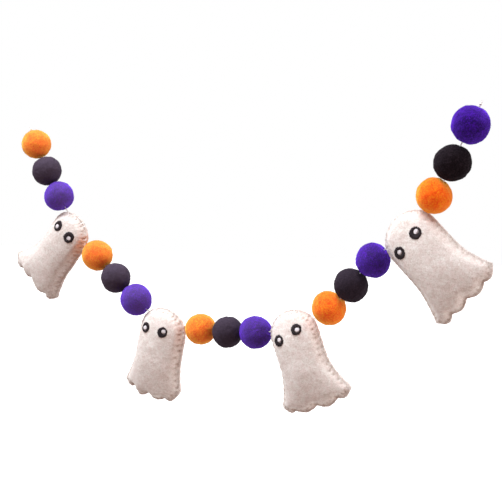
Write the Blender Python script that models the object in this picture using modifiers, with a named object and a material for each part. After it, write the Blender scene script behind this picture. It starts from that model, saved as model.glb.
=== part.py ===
"""A felt ball garland: wool felt balls and stuffed felt ghosts threaded on one cotton thread.

The garland hangs in the XZ plane. Its front faces -Y, +X runs to the right and +Z is up.
The origin is the middle of the knot at the thread's left end.
"""

from collections import namedtuple
from math import cos, pi, radians, sin, sqrt

import bmesh
import bpy
from mathutils import Matrix, Vector

MM = 0.001
MERGE = 0.01 * MM

THREAD_RADIUS = 0.5 * MM
BORE_RADIUS = 0.8 * MM
KNOT_RADIUS = 1.1 * MM
KNOT_TO_BALL = 1.4 * MM
THREAD_TAIL = 2.6 * MM
GAP = 0.5 * MM

BALL_STEPS = 16
BALL_ROWS = 10
BORE_STEPS = 10
KNOT_STEPS = 10
KNOT_ROWS = 6

# A ghost's pattern, which its two felt panels are cut to.
RIM_HALF = 1.2 * MM
FLARE_TOP = 34.0 * MM
FLARE_POWER = 1.7
DOME_POWER = 2.25
SHOULDER_ANGLE = radians(52)
HEM_COLUMNS = 24
BODY_ROWS = 16

# How squarely the stuffing fills a ghost across and upward: 2 is a round crown.
CROWN_ACROSS = 2.0
CROWN_UP = 2.2

# An eye is a ring stitched in black around a small white spot.
EYE_HOLE = 1.85 * MM
SPOT_RADIUS = 1.5 * MM
EYE_GAP = 0.3 * MM
EYE_HEIGHT = 0.7 * MM
EYE_STEPS = 20
SPOT_STEPS = 10
PRESS_FROM = 30.0 * MM

# One row for each piece on the thread, from the left: its length along the thread and its
# width in millimetres, the thread's slope through it in degrees, and bare thread before it.
Piece = namedtuple("Piece", "name felt run width slope bare")
CHAIN = [
    Piece("ball_01", "orange", 24.8, 24.7, -65.4, 0.0),
    Piece("ball_02", "black", 24.6, 25.1, -61.5, 0.0),
    Piece("ball_03", "purple", 24.4, 25.2, -55.4, 0.0),
    Piece("ghost_1", "ivory", 37.4, 0.0, -50.6, 0.0),
    Piece("ball_04", "orange", 25.4, 25.2, -44.0, 0.0),
    Piece("ball_05", "black", 25.3, 24.5, -42.7, 0.0),
    Piece("ball_06", "purple", 26.1, 25.5, -35.6, 0.0),
    Piece("ghost_2", "ivory", 39.4, 0.0, -15.7, 0.0),
    Piece("ball_07", "orange", 24.5, 24.3, -3.6, 0.0),
    Piece("ball_08", "black", 23.9, 24.2, 1.1, 0.0),
    Piece("ball_09", "purple", 24.7, 25.0, 6.9, 0.0),
    Piece("ghost_3", "ivory", 39.7, 0.0, 19.0, 0.0),
    Piece("ball_10", "orange", 24.5, 25.3, 38.6, 0.0),
    Piece("ball_11", "black", 23.9, 25.2, 52.1, 0.0),
    Piece("ball_12", "purple", 24.2, 24.9, 42.8, 0.0),
    Piece("ghost_4", "ivory", 37.9, 0.0, 44.3, 0.0),
    Piece("ball_13", "orange", 24.4, 25.0, 55.3, 0.0),
    Piece("ball_14", "black", 25.1, 25.7, 64.8, 0.0),
    Piece("ball_15", "purple", 25.8, 25.8, 63.9, 1.6),
]

# One row for each ghost, in millimetres and degrees: how far it is turned clockwise, where the
# thread's mid-run passes it (right of its middle line, above its hem), its full height, its
# half width at the shoulders, how far its hem flares on each side and sways, and its stuffing's
# half thickness.
Ghost = namedtuple(
    "Ghost", "name turn thread_right thread_up height half_width flare_left flare_right sway puff"
)
GHOSTS = [
    Ghost("ghost_1", 40, 1.6, 67.4, 74.6, 19.4, 14.0, 12.8, -5.5, 11.0),
    Ghost("ghost_2", 12, 1.4, 63.6, 71.0, 21.2, 8.0, 8.0, 0.0, 11.4),
    Ghost("ghost_3", -20, 1.1, 61.4, 72.6, 19.8, 12.8, 14.8, 1.8, 11.0),
    Ghost("ghost_4", -45, -0.3, 64.7, 74.7, 20.7, 8.2, 12.0, 0.0, 11.6),
]

# One row for each ghost's hem, which is cut by hand into four lobes: where the cuts between them
# lie as shares of its half width, how high above the hem's line its left corner, the three cuts
# and its right corner lie, and how far each lobe hangs below them, in millimetres.
Hem = namedtuple("Hem", "cuts heights depths")
HEMS = {
    "ghost_1": Hem((-0.50, -0.06, 0.57), (6.6, 0.6, 1.7, -0.1, 6.4), (4.6, 3.0, 4.2, 3.9)),
    "ghost_2": Hem((-0.64, -0.10, 0.52), (5.5, 1.6, 0.1, 0.5, 9.8), (2.8, 4.7, 3.3, 4.8)),
    "ghost_3": Hem((-0.68, -0.05, 0.56), (6.0, 0.8, 0.7, 1.8, 7.0), (2.9, 3.1, 3.5, 3.4)),
    "ghost_4": Hem((-0.56, -0.03, 0.55), (3.8, 1.1, 2.0, 1.9, 7.4), (4.2, 2.9, 3.3, 3.3)),
}

# One row for each eye, in millimetres in its ghost's own frame: where its middle lies, its
# radius, and how far its white spot is moved from the middle, which is the way it looks.
Eye = namedtuple("Eye", "name ghost across up radius look_across look_up")
EYES = [
    Eye("eye_1_left", "ghost_1", -8.1, 59.8, 4.3, -0.3, -0.9),
    Eye("eye_1_right", "ghost_1", 6.5, 59.8, 4.6, 0.8, -0.5),
    Eye("eye_2_left", "ghost_2", -10.5, 54.1, 4.0, -0.4, -0.6),
    Eye("eye_2_right", "ghost_2", 6.2, 54.8, 4.2, 1.1, 0.9),
    Eye("eye_3_left", "ghost_3", -9.0, 53.4, 4.3, 1.0, 0.4),
    Eye("eye_3_right", "ghost_3", 7.3, 57.4, 4.1, 0.9, -0.5),
    Eye("eye_4_left", "ghost_4", -10.6, 53.5, 4.5, 0.6, 0.3),
    Eye("eye_4_right", "ghost_4", 7.0, 55.5, 4.4, 1.1, 0.5),
]

# Each felt or thread's colour and roughness.
FINISHES = {
    "orange": ((0.87, 0.27, 0.03), 0.95),
    "black": ((0.035, 0.027, 0.035), 0.95),
    "purple": ((0.11, 0.035, 0.36), 0.95),
    "ivory": ((0.80, 0.73, 0.67), 0.95),
    "eye_black": ((0.03, 0.022, 0.028), 0.7),
    "eye_white": ((0.85, 0.82, 0.82), 0.7),
    "thread": ((0.86, 0.83, 0.78), 0.8),
}


def clear_scene():
    for item in list(bpy.data.objects):
        bpy.data.objects.remove(item, do_unlink=True)


def new_collection(name):
    group = bpy.data.collections.new(name)
    bpy.context.scene.collection.children.link(group)
    return group


def make_material(name):
    colour, roughness = FINISHES[name]
    material = bpy.data.materials.new(name)
    material.use_nodes = True
    shader = material.node_tree.nodes["Principled BSDF"]
    shader.inputs["Base Color"].default_value = (*colour, 1.0)
    shader.inputs["Roughness"].default_value = roughness
    shader.inputs["Metallic"].default_value = 0.0
    return material


def add_object(name, mesh, group, material=None):
    item = bpy.data.objects.new(name, mesh)
    group.objects.link(item)
    if material:
        mesh.materials.append(material)
    return item


def hide_guide(item):
    item.hide_render = True
    item.display_type = "WIRE"


def boolean(item, other, operation):
    cut = item.modifiers.new(operation.lower(), "BOOLEAN")
    cut.operation = operation
    cut.solver = "EXACT"
    cut.object = other


def direction(slope):
    """The thread's unit direction at a slope in degrees, in the hanging plane."""
    return Vector((cos(radians(slope)), 0.0, sin(radians(slope))))


def lay_out_chain():
    """Walks along the thread and returns each piece's middle, and the thread's own points."""
    here = direction(CHAIN[0].slope) * (KNOT_TO_BALL - GAP / 2)
    middles = {}
    route = []
    for piece in CHAIN:
        along = direction(piece.slope)
        if piece.bare:
            route.append(here.copy())
            here = here + along * piece.bare * MM
        route.append(here.copy())
        here = here + along * GAP / 2
        middles[piece.name] = here + along * piece.run * MM / 2
        here = here + along * (piece.run * MM + GAP / 2)
    route.append(here.copy())
    return middles, route


def turned_ball(piece, middle, group, material):
    """A felt ball turned about the thread, with the thread's bore through it."""
    half_width = piece.width * MM / 2
    half_run = piece.run * MM / 2
    first = BORE_RADIUS / half_width
    mesh = bpy.data.meshes.new(piece.name)
    bm = bmesh.new()
    profile = []
    for row in range(BALL_ROWS + 1):
        angle = first + (pi - 2 * first) * row / BALL_ROWS
        profile.append(bm.verts.new((half_width * sin(angle), 0.0, half_run * cos(angle))))
    for upper, lower in zip(profile, profile[1:] + profile[:1]):
        bm.edges.new((upper, lower))
    bm.to_mesh(mesh)
    bm.free()
    ball = add_object(piece.name, mesh, group, material)
    turn = ball.modifiers.new("turn", "SCREW")
    turn.axis = "Z"
    turn.steps = BALL_STEPS
    turn.render_steps = BALL_STEPS
    turn.use_merge_vertices = True
    turn.merge_threshold = MERGE
    turn.use_smooth_shade = True
    ball.location = middle
    ball.rotation_euler = (0.0, pi / 2 - radians(piece.slope), 0.0)
    return ball


def side_half_width(ghost, up):
    """Half the ghost's width at a height above its hem, without the flare of the hem."""
    half = ghost.half_width * MM
    shoulder = ghost.height * MM - half
    if up <= shoulder:
        return half
    rise = min(1.0, (up - shoulder) / half)
    return half * (1.0 - rise ** DOME_POWER) ** (1.0 / DOME_POWER)


def side_point(ghost, side, up):
    """A point of the left (-1) or right (+1) seam at a height above the hem."""
    flare = (ghost.flare_right if side > 0 else ghost.flare_left) * MM
    spread = max(0.0, 1.0 - up / FLARE_TOP) ** FLARE_POWER
    sway = ghost.sway * MM * max(0.0, 1.0 - up / FLARE_TOP)
    return side * (side_half_width(ghost, up) + flare * spread) + sway


def hem_places(ghost):
    """Where a ghost's hem has its left corner, its cuts and its right corner, from -1 to 1."""
    return (-1.0, *HEMS[ghost.name].cuts, 1.0)


def hem_height(ghost, u):
    """The hem's height at u: straight from cut to cut, with a round lobe hanging below."""
    places, hem = hem_places(ghost), HEMS[ghost.name]
    lobe = max(n for n in range(len(hem.depths)) if u >= places[n])
    share = (u - places[lobe]) / (places[lobe + 1] - places[lobe])
    line = hem.heights[lobe] * (1 - share) + hem.heights[lobe + 1] * share
    return (line - hem.depths[lobe] * sin(pi * share)) * MM


def column_place(ghost, share):
    """Where a column from -1 to 1 lies across the ghost: each lobe takes the same number."""
    places = hem_places(ghost)
    lobes = len(places) - 1
    passed = (share + 1) / 2 * lobes
    lobe = min(lobes - 1, int(passed + MERGE))
    return places[lobe] + (places[lobe + 1] - places[lobe]) * (passed - lobe)


def outline(ghost):
    """The four seams of a ghost as functions: hem and top over u, left and right over v."""
    half = ghost.half_width * MM
    shoulder = ghost.height * MM - half
    left_corner, right_corner = hem_height(ghost, -1.0), hem_height(ghost, 1.0)
    top_up = shoulder + half * cos(SHOULDER_ANGLE)

    def left(v):
        up = left_corner + (top_up - left_corner) * v
        return Vector((side_point(ghost, -1, up), up))

    def right(v):
        up = right_corner + (top_up - right_corner) * v
        return Vector((side_point(ghost, 1, up), up))

    def hem(u):
        across = left(0)[0] + (right(0)[0] - left(0)[0]) * (u + 1) / 2
        return Vector((across, hem_height(ghost, u)))

    def top(u):
        up_right = right(1)[0] if u > 0 else -left(1)[0]
        angle = SHOULDER_ANGLE * u
        across = up_right * sin(angle) / sin(SHOULDER_ANGLE)
        return Vector((across, shoulder + half * cos(angle)))

    return left, right, hem, top


def panel_point(seams, u, v):
    """A point of the ghost's flat pattern: a smooth patch between its four seams."""
    left, right, hem, top = seams
    share = (u + 1) / 2
    sides = left(v) * (1 - share) + right(v) * share
    ends = hem(u) * (1 - v) + top(u) * v
    corners = (left(0) * (1 - share) + right(0) * share) * (1 - v)
    corners = corners + (left(1) * (1 - share) + right(1) * share) * v
    return sides + ends - corners


def stuffing(ghost, u, v):
    """Half the ghost's thickness: full in the middle, drawn in to the two felts at the rim."""
    across = 1.0 - abs(u) ** CROWN_ACROSS
    upward = 1.0 - abs(2 * v - 1) ** CROWN_UP
    return RIM_HALF + ghost.puff * MM * sqrt(max(0.0, across * upward))


def row_height(share):
    """Where a row from -1 to 1 lies between hem (0) and top (1): closer together at both."""
    eased = (share + sin(share * pi / 2)) / 2
    return (eased + 1) / 2


def ghost_half(ghost):
    """The front half of a ghost's skin, open where the back half mirrors it."""
    seams = outline(ghost)
    bm = bmesh.new()
    bmesh.ops.create_grid(bm, x_segments=HEM_COLUMNS, y_segments=BODY_ROWS, size=1.0)
    for point in bm.verts:
        u, v = column_place(ghost, point.co.x), row_height(point.co.y)
        across, up = panel_point(seams, u, v)
        point.co = (across, -stuffing(ghost, u, v), up)
    border = [edge for edge in bm.edges if edge.is_boundary]
    rim = bmesh.ops.extrude_edge_only(bm, edges=border)
    for point in rim["geom"]:
        if isinstance(point, bmesh.types.BMVert):
            point.co.y = 0.0
    bmesh.ops.recalc_face_normals(bm, faces=bm.faces)
    mesh = bpy.data.meshes.new(ghost.name)
    bm.to_mesh(mesh)
    bm.free()
    mesh.shade_smooth()
    return mesh


def place_of(ghost, middle):
    """The matrix that takes a ghost's own frame to where it hangs on the thread."""
    turn = Matrix.Rotation(radians(ghost.turn), 4, "Y")
    pierced = Vector((ghost.thread_right * MM, 0.0, ghost.thread_up * MM))
    return Matrix.Translation(middle) @ turn @ Matrix.Translation(-pierced)


def thread_needle(name, piece, middle, guides):
    """The straight hole that the threading needle leaves through a ghost."""
    bm = bmesh.new()
    length = 2 * piece.run * MM
    bmesh.ops.create_cone(
        bm, cap_ends=True, segments=BORE_STEPS, radius1=BORE_RADIUS, radius2=BORE_RADIUS, depth=length
    )
    mesh = bpy.data.meshes.new(name)
    bm.to_mesh(mesh)
    bm.free()
    needle = add_object(name, mesh, guides)
    needle.location = middle
    needle.rotation_euler = (0.0, pi / 2 - radians(piece.slope), 0.0)
    hide_guide(needle)
    return needle


def stuffed_ghost(ghost, piece, middle, group, guides, material):
    """One ghost: two felt panels sewn at the rim and stuffed, pierced by the thread."""
    item = add_object(ghost.name, ghost_half(ghost), group, material)
    item.matrix_world = place_of(ghost, middle)
    both = item.modifiers.new("both panels", "MIRROR")
    both.use_axis = (False, True, False)
    both.merge_threshold = MERGE
    both.use_clip = True
    boolean(item, thread_needle(f"needle_{ghost.name}", piece, middle, guides), "DIFFERENCE")
    return item


def flat_mesh(name, circles):
    """A flat piece facing -Y, from (radius, across, up) circles: a ring, or a disc from one."""
    bm = bmesh.new()
    loops = []
    for radius, across, up in circles:
        steps = EYE_STEPS if len(circles) > 1 else SPOT_STEPS
        placed = Matrix.Translation((across, 0.0, up)) @ Matrix.Rotation(pi / 2, 4, "X")
        before = set(bm.edges)
        bmesh.ops.create_circle(
            bm, segments=steps, radius=radius, matrix=placed, cap_ends=len(circles) == 1, cap_tris=True
        )
        loops.append([edge for edge in bm.edges if edge not in before])
    for inner, outer in zip(loops, loops[1:]):
        bmesh.ops.bridge_loops(bm, edges=inner + outer)
    bmesh.ops.recalc_face_normals(bm, faces=bm.faces)
    if sum(face.normal.y for face in bm.faces) > 0:
        bmesh.ops.reverse_faces(bm, faces=bm.faces)
    mesh = bpy.data.meshes.new(name)
    bm.to_mesh(mesh)
    bm.free()
    return mesh


def lay_on_felt(item, ghost_item, eye):
    """Presses a flat piece onto a ghost's front and gives it its raised thickness."""
    before = Matrix.Translation((eye.across * MM, -PRESS_FROM, eye.up * MM))
    item.matrix_world = ghost_item.matrix_world @ before
    press = item.modifiers.new("press on the felt", "SHRINKWRAP")
    press.target = ghost_item
    press.wrap_method = "PROJECT"
    press.use_project_y = True
    press.use_positive_direction = True
    press.use_negative_direction = False
    press.offset = EYE_GAP
    raised = item.modifiers.new("raised stitches", "SOLIDIFY")
    raised.thickness = EYE_HEIGHT
    raised.offset = 1.0


def stitched_eye(eye, ghost_item, group, black, white):
    """One eye: a ring stitched in black and the white spot in its hole."""
    look = (eye.look_across * MM, eye.look_up * MM)
    radius = eye.radius * MM
    middle_radius = (EYE_HOLE + radius) / 2
    circles = [(EYE_HOLE, *look), (middle_radius, look[0] / 2, look[1] / 2), (radius, 0.0, 0.0)]
    ring = add_object(eye.name, flat_mesh(eye.name, circles), group, black)
    lay_on_felt(ring, ghost_item, eye)
    spot_name = eye.name.replace("eye", "eye_spot")
    spot = add_object(spot_name, flat_mesh(spot_name, [(SPOT_RADIUS, *look)]), group, white)
    lay_on_felt(spot, ghost_item, eye)


def knot_at(name, place, guides):
    """A knot that is drawn tight in the thread, as a shape to join to it."""
    bm = bmesh.new()
    bmesh.ops.create_uvsphere(bm, u_segments=KNOT_STEPS, v_segments=KNOT_ROWS, radius=KNOT_RADIUS)
    mesh = bpy.data.meshes.new(name)
    bm.to_mesh(mesh)
    bm.free()
    knot = add_object(name, mesh, guides)
    knot.location = place
    hide_guide(knot)
    return knot


def make_thread(route, group, guides, material):
    """The thread through every piece, with a tight knot outside each end ball."""
    first_way = direction(CHAIN[0].slope)
    last_way = direction(CHAIN[-1].slope)
    left_knot = Vector((0.0, 0.0, 0.0))
    right_knot = route[-1] + last_way * (KNOT_TO_BALL - GAP / 2)
    points = [left_knot - first_way * THREAD_TAIL, *route, right_knot + last_way * THREAD_TAIL]
    curve = bpy.data.curves.new("thread", "CURVE")
    curve.dimensions = "3D"
    curve.bevel_depth = THREAD_RADIUS
    curve.bevel_resolution = 2
    curve.use_fill_caps = True
    spline = curve.splines.new("POLY")
    spline.points.add(len(points) - 1)
    for slot, point in zip(spline.points, points):
        slot.co = (*point, 1.0)
    line = bpy.data.objects.new("thread_line", curve)
    guides.objects.link(line)
    bpy.context.view_layer.update()
    shown = line.evaluated_get(bpy.context.evaluated_depsgraph_get())
    mesh = bpy.data.meshes.new_from_object(shown)
    bpy.data.objects.remove(line, do_unlink=True)
    bm = bmesh.new()
    bm.from_mesh(mesh)
    bmesh.ops.remove_doubles(bm, verts=bm.verts, dist=MERGE)
    bm.to_mesh(mesh)
    bm.free()
    mesh.name = "thread"
    thread = add_object("thread", mesh, group, material)
    boolean(thread, knot_at("knot_left", left_knot, guides), "UNION")
    boolean(thread, knot_at("knot_right", right_knot, guides), "UNION")


def main():
    clear_scene()
    group = new_collection("felt_ball_garland")
    guides = new_collection("cutters")
    materials = {name: make_material(name) for name in FINISHES}
    middles, route = lay_out_chain()
    pieces = {piece.name: piece for piece in CHAIN}
    for piece in CHAIN:
        if piece.name.startswith("ball"):
            turned_ball(piece, middles[piece.name], group, materials[piece.felt])
    ghosts = {}
    for ghost in GHOSTS:
        middle = middles[ghost.name]
        ghosts[ghost.name] = stuffed_ghost(
            ghost, pieces[ghost.name], middle, group, guides, materials["ivory"]
        )
    for eye in EYES:
        stitched_eye(eye, ghosts[eye.ghost], group, materials["eye_black"], materials["eye_white"])
    make_thread(route, group, guides, materials["thread"])


main()
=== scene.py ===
"""The looks of a felt ball garland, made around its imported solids.

Every ball is lumpy wool with short fuzz. Every ghost is two sheets of felt, whip stitched over
their edge and stuffed, with eyes in satin stitch. A twisted cotton thread carries them all.
"""

from collections import namedtuple
from math import cos, pi, radians, sin

import bmesh
import bpy
import numpy as np
from mathutils import Matrix, Vector, noise
from mathutils.bvhtree import BVHTree


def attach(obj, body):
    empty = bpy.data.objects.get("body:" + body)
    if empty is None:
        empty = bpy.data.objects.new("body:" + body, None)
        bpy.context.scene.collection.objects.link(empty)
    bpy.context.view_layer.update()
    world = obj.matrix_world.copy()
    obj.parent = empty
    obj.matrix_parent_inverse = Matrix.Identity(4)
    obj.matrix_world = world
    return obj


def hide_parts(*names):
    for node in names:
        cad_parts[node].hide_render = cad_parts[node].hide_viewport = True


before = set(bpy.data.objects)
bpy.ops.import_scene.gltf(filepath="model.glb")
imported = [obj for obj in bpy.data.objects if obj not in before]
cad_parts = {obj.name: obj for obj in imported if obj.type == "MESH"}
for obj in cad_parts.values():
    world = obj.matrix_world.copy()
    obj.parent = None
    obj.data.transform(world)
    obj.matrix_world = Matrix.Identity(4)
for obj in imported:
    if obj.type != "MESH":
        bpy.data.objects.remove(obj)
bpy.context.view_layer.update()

MM = 0.001
SEED = 31

# The sizes that the solids were made with: the thread's, the ghosts' and the eyes' holes.
THREAD_RADIUS = 0.5 * MM
KNOT_RADIUS = 1.1 * MM
KNOT_TO_BALL = 1.4 * MM
THREAD_TAIL = 2.6 * MM
GAP = 0.5 * MM
RIM_HALF = 1.2 * MM
FLARE_TOP = 34.0 * MM
FLARE_POWER = 1.7
DOME_POWER = 2.25
SHOULDER_ANGLE = radians(52)
CROWN_ACROSS = 2.0
CROWN_UP = 2.2
EYE_HOLE = 1.85 * MM

# One row for each piece on the thread, from the left: its length along the thread and its
# width in millimetres, the thread's slope through it in degrees, and bare thread before it.
Piece = namedtuple("Piece", "name felt run width slope bare", defaults=(0.0,))
CHAIN = [
    Piece("ball_01", "orange", 24.8, 24.7, -65.4),
    Piece("ball_02", "black", 24.6, 25.1, -61.5),
    Piece("ball_03", "purple", 24.4, 25.2, -55.4),
    Piece("ghost_1", "ivory", 37.4, 0.0, -50.6),
    Piece("ball_04", "orange", 25.4, 25.2, -44.0),
    Piece("ball_05", "black", 25.3, 24.5, -42.7),
    Piece("ball_06", "purple", 26.1, 25.5, -35.6),
    Piece("ghost_2", "ivory", 39.4, 0.0, -15.7),
    Piece("ball_07", "orange", 24.5, 24.3, -3.6),
    Piece("ball_08", "black", 23.9, 24.2, 1.1),
    Piece("ball_09", "purple", 24.7, 25.0, 6.9),
    Piece("ghost_3", "ivory", 39.7, 0.0, 19.0),
    Piece("ball_10", "orange", 24.5, 25.3, 38.6),
    Piece("ball_11", "black", 23.9, 25.2, 52.1),
    Piece("ball_12", "purple", 24.2, 24.9, 42.8),
    Piece("ghost_4", "ivory", 37.9, 0.0, 44.3),
    Piece("ball_13", "orange", 24.4, 25.0, 55.3),
    Piece("ball_14", "black", 25.1, 25.7, 64.8),
    Piece("ball_15", "purple", 25.8, 25.8, 63.9, 1.6),
]

# One row for each ghost, in millimetres and degrees, as the solids have it.
Ghost = namedtuple(
    "Ghost", "name turn thread_right thread_up height half_width flare_left flare_right sway puff"
)
GHOSTS = [
    Ghost("ghost_1", 40, 1.6, 67.4, 74.6, 19.4, 14.0, 12.8, -5.5, 11.0),
    Ghost("ghost_2", 12, 1.4, 63.6, 71.0, 21.2, 8.0, 8.0, 0.0, 11.4),
    Ghost("ghost_3", -20, 1.1, 61.4, 72.6, 19.8, 12.8, 14.8, 1.8, 11.0),
    Ghost("ghost_4", -45, -0.3, 64.7, 74.7, 20.7, 8.2, 12.0, 0.0, 11.6),
]

# One row for each ghost's hem, which is cut by hand into four lobes: where the cuts between them
# lie as shares of its half width, how high above the hem's line its left corner, the three cuts
# and its right corner lie, and how far each lobe hangs below them, in millimetres.
Hem = namedtuple("Hem", "cuts heights depths")
HEMS = {
    "ghost_1": Hem((-0.50, -0.06, 0.57), (6.6, 0.6, 1.7, -0.1, 6.4), (4.6, 3.0, 4.2, 3.9)),
    "ghost_2": Hem((-0.64, -0.10, 0.52), (5.5, 1.6, 0.1, 0.5, 9.8), (2.8, 4.7, 3.3, 4.8)),
    "ghost_3": Hem((-0.68, -0.05, 0.56), (6.0, 0.8, 0.7, 1.8, 7.0), (2.9, 3.1, 3.5, 3.4)),
    "ghost_4": Hem((-0.56, -0.03, 0.55), (3.8, 1.1, 2.0, 1.9, 7.4), (4.2, 2.9, 3.3, 3.3)),
}

# One row for each eye, in millimetres in its ghost's own frame: where its middle lies, its
# radius, and how far its white spot is moved from the middle, which is the way it looks.
Eye = namedtuple("Eye", "name ghost across up radius look_across look_up")
EYES = [
    Eye("eye_1_left", "ghost_1", -8.1, 59.8, 4.3, -0.3, -0.9),
    Eye("eye_1_right", "ghost_1", 6.5, 59.8, 4.6, 0.8, -0.5),
    Eye("eye_2_left", "ghost_2", -10.5, 54.1, 4.0, -0.4, -0.6),
    Eye("eye_2_right", "ghost_2", 6.2, 54.8, 4.2, 1.1, 0.9),
    Eye("eye_3_left", "ghost_3", -9.0, 53.4, 4.3, 1.0, 0.4),
    Eye("eye_3_right", "ghost_3", 7.3, 57.4, 4.1, 0.9, -0.5),
    Eye("eye_4_left", "ghost_4", -10.6, 53.5, 4.5, 0.6, 0.3),
    Eye("eye_4_right", "ghost_4", 7.0, 55.5, 4.4, 1.1, 0.5),
]

# A felt ball's surface: bumps as (height, waves for each metre), how far it is drawn in so that
# they stay near the solid, and the dimple that the needle leaves at each end of its bore.
BALL_DETAIL = 6
BALL_BUMPS = [(0.55 * MM, 70.0), (0.32 * MM, 240.0), (0.17 * MM, 600.0)]
BALL_DRAWN_IN = BALL_BUMPS[0][0] / 3
DIMPLE_DEPTH = 0.9 * MM
DIMPLE_ANGLE = 0.15

# Where each piece, side and level of bumps lies in the noise, so that no two are alike.
BALL_SHIFT = 3.0
BALL_SHIFT_STEP = 11.0
GHOST_SHIFT = 40.0
GHOST_SHIFT_STEP = 13.0
SIDE_SHIFT = 5.0
DEPTH_SHIFT = 1.7
LEVEL_SHIFT = 2.3

# The wool's loose fibres: how many, how long and thick, and how they stand, stray, bend and taper.
BALL_FIBRES = 1500
GHOST_FIBRES = 2400
FIBRE_LENGTH = 1.2 * MM
FIBRE_RADIUS = 0.034 * MM
FIBRE_SHARES = (0.45, 1.0)
FIBRE_STANDS = (0.25, 0.9)
FIBRE_STRAYS = 0.55
FIBRE_BEND_AT = 0.55
FIBRE_END = 0.5
FIBRE_TAPER = 0.8
FIBRE_ROOT = 0.12 * MM
FIBRE_ARCH = 0.06 * MM
FIBRE_PLACES = (0.1, 0.9)

# A ghost's felt: the grid of each panel, its bumps and how they calm down towards the rim, the
# thinnest it gets, how the crown is pinched flat at the rim, and a place well outside it.
PANEL_COLUMNS = 84
PANEL_ROWS = 120
GHOST_BUMPS = [(0.75 * MM, 55.0), (0.20 * MM, 200.0), (0.08 * MM, 800.0)]
RIM_ROUGHNESS = 0.35
CALM_REACH = 8 * MM
THINNEST = 0.35 * MM
PINCH = 2.9 * MM
PINCH_POWER = 2.5
FAR_OUT = 0.03

# The felts' cut edge, from the front to its middle: how far each ring of points stands out past
# the seam in millimetres, and its share of the way to the front. The back mirrors them.
EDGE_RINGS = [(0.10, 0.92), (0.22, 0.62), (0.10, 0.26), (-0.45, 0.04)]

# A ghost's outline: its points on each seam, its smoothing, and how many points it measures at once.
OUTLINE_STEPS = 260
OUTLINE_SMOOTHING = 6
NEAREST_BLOCK = 2000

# How a stitch presses the felt down, pulls its edge in and shades its hole.
STITCH_GROOVE = 0.30 * MM
GROOVE_WIDTH = 0.42 * MM
GROOVE_FADE = 0.45 * MM
STITCH_PUCKER = 0.55 * MM
PUCKER_WIDTH = 0.95 * MM
PUCKER_REACH = 4.2 * MM
STITCH_HOLE = 0.75 * MM
HOLE_WIDTH = 0.5 * MM
HOLE_SHADE_WIDTH = 0.75 * MM
STITCH_PULL = 0.42 * MM
PULL_WIDTH = 0.8 * MM
PULL_REACH = 1.4 * MM

# The crease that runs in from each cut of the hem, and its shade.
NOTCH_CREASE = 0.8 * MM
NOTCH_REACH = 2.4 * MM
CREASE_REACH = 1.6 * NOTCH_REACH
CREASE_SHADE = 0.4
SHADE_WIDTH = 0.7 * NOTCH_REACH
SHADE_REACH = 0.6 * NOTCH_REACH

# How each ghost is sewn: its stitches' pitch, how far in they go through the felt and how far
# they slant, in millimetres, how tight they are drawn, and how dark the shade painted at each
# stitch hole is.
Sewing = namedtuple("Sewing", "pitch inset slant tight holes")
SEWING = {
    "ghost_1": Sewing(4.2, 2.4, 1.2, 0.95, 0.65),
    "ghost_2": Sewing(4.8, 2.3, 0.9, 0.80, 1.00),
    "ghost_3": Sewing(4.0, 2.7, 1.6, 1.00, 0.90),
    "ghost_4": Sewing(4.6, 2.0, 1.0, 0.60, 0.35),
}

# How a hand's work strays from these, as shares of the pitch and of each size.
STITCH_STRAYS = (-0.24, 0.24)
INSET_STRAYS = (0.75, 1.25)
SLANT_STRAYS = (0.5, 1.5)
TIGHT_STRAYS = (0.6, 1.2)
# How much the painted shade at each stitch hole strays.
HOLE_SHADE_STRAYS = (0.5, 1.0)
CREASE_STRAYS = (0.5, 1.0)

# A whip stitch's floss. Its line has points on each side, as shares of the way from the hole to
# the edge and heights above the felt in millimetres, and turns round the edge.
FLOSS_RADIUS = 0.21 * MM
FLOSS_SIDES = 6
FLOSS_STEPS = 2
FLOSS_LINE = [(0.0, -0.55), (0.10, 0.10), (0.45, 0.16), (0.8, 0.14)]
EDGE_TURNS = (-0.7, 0.0, 0.7)
EDGE_HALF = 1.25 * MM
EDGE_LIFT = 0.30 * MM
EDGE_ROUND = 0.12 * MM
EDGE_SLANT = 0.12

# An eye's ring of satin stitches: how ragged its edges are, and how high it stands at shares of
# the way out, all in millimetres.
EYE_STITCHES = 46
EYE_STITCH_STEPS = 4
EYE_RIDGE = 0.16 * MM
RING_OUTER_STRAYS = (-0.3, 0.2)
RING_INNER_STRAYS = (-0.15, 0.15)
RING_SHARES = (0.0, 0.05, 0.2, 0.5, 0.8, 0.95, 1.0)
RING_LIFTS = (-0.1, 0.40, 0.60, 0.66, 0.58, 0.34, -0.1)

# An eye's white spot: its stitches, their lean in degrees, its rise, and the root of ring and spot.
SPOT_STITCHES = 7
SPOT_STITCH_STEPS = 5
SPOT_ROWS = 9
SPOT_RIDGE = 0.12 * MM
SPOT_LEAN = 35
SPOT_CLEARANCE = 0.05 * MM
SPOT_STRAYS = (0.9, 1.04)
SPOT_NARROWEST = 0.16
SPOT_END_SLOPE = 3.0
SPOT_SIDE_SLOPE = 6.0
SPOT_SIDE_START = 0.1
SPOT_SUNK = 0.1 * MM
SPOT_RISE = 0.68 * MM
PATCH_ROOT = 0.35 * MM

# The thread: two plies, in fine steps on the short runs where it shows, and its knots' strand.
FINE_BELOW = 8 * MM
FINE_STEP = 0.22 * MM
COARSE_STEP = 1.6 * MM
TWIST = 2.4 * MM
PLY_OFFSET = 0.46 * THREAD_RADIUS
PLY_RADIUS = 0.56 * THREAD_RADIUS
KNOT_STRAND = 0.42 * MM
KNOT_POINTS = 61
KNOT_STRETCH = 1.5
STRAND_SIDES = 7
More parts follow.
